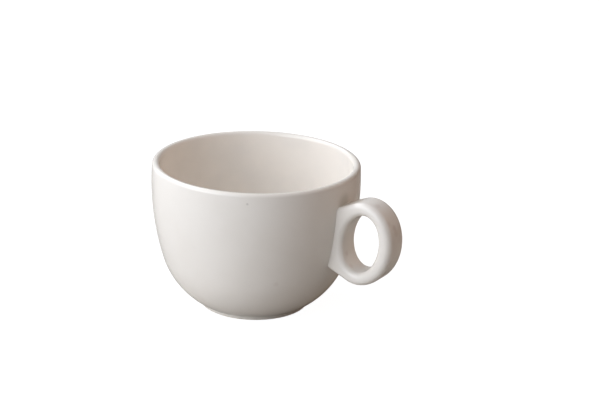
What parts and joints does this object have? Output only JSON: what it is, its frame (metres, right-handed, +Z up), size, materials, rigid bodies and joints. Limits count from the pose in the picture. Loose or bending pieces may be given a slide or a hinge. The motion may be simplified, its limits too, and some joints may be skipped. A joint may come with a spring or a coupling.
{
  "type": "latte cup",
  "caption": "Thick-walled round ceramic cup with a rounded lip, a low foot ring and an upright D-shaped ring handle with an oval finger hole, for coffee with milk.",
  "frame": {"origin": "middle of the cup's footprint box, on the plane that the foot ring rests on; the bowl's turning axis is 14.2 mm from it, towards -X", "axes": "+Z up along the bowl's axis, +X towards the handle, and the plane Y = 0 is the cup's plane of symmetry"},
  "size_m": [0.1284, 0.1, 0.0713],
  "materials": {
    "body_glaze": "warm white gloss glaze",
    "handle_glaze": "warm white gloss glaze",
    "slip_glaze": "warm white gloss glaze over slip"
  },
  "bodies": {
    "root": {"cup_body": "body_glaze", "handle": "handle_glaze", "luting_slip": "slip_glaze"}
  },
  "joints": []
}
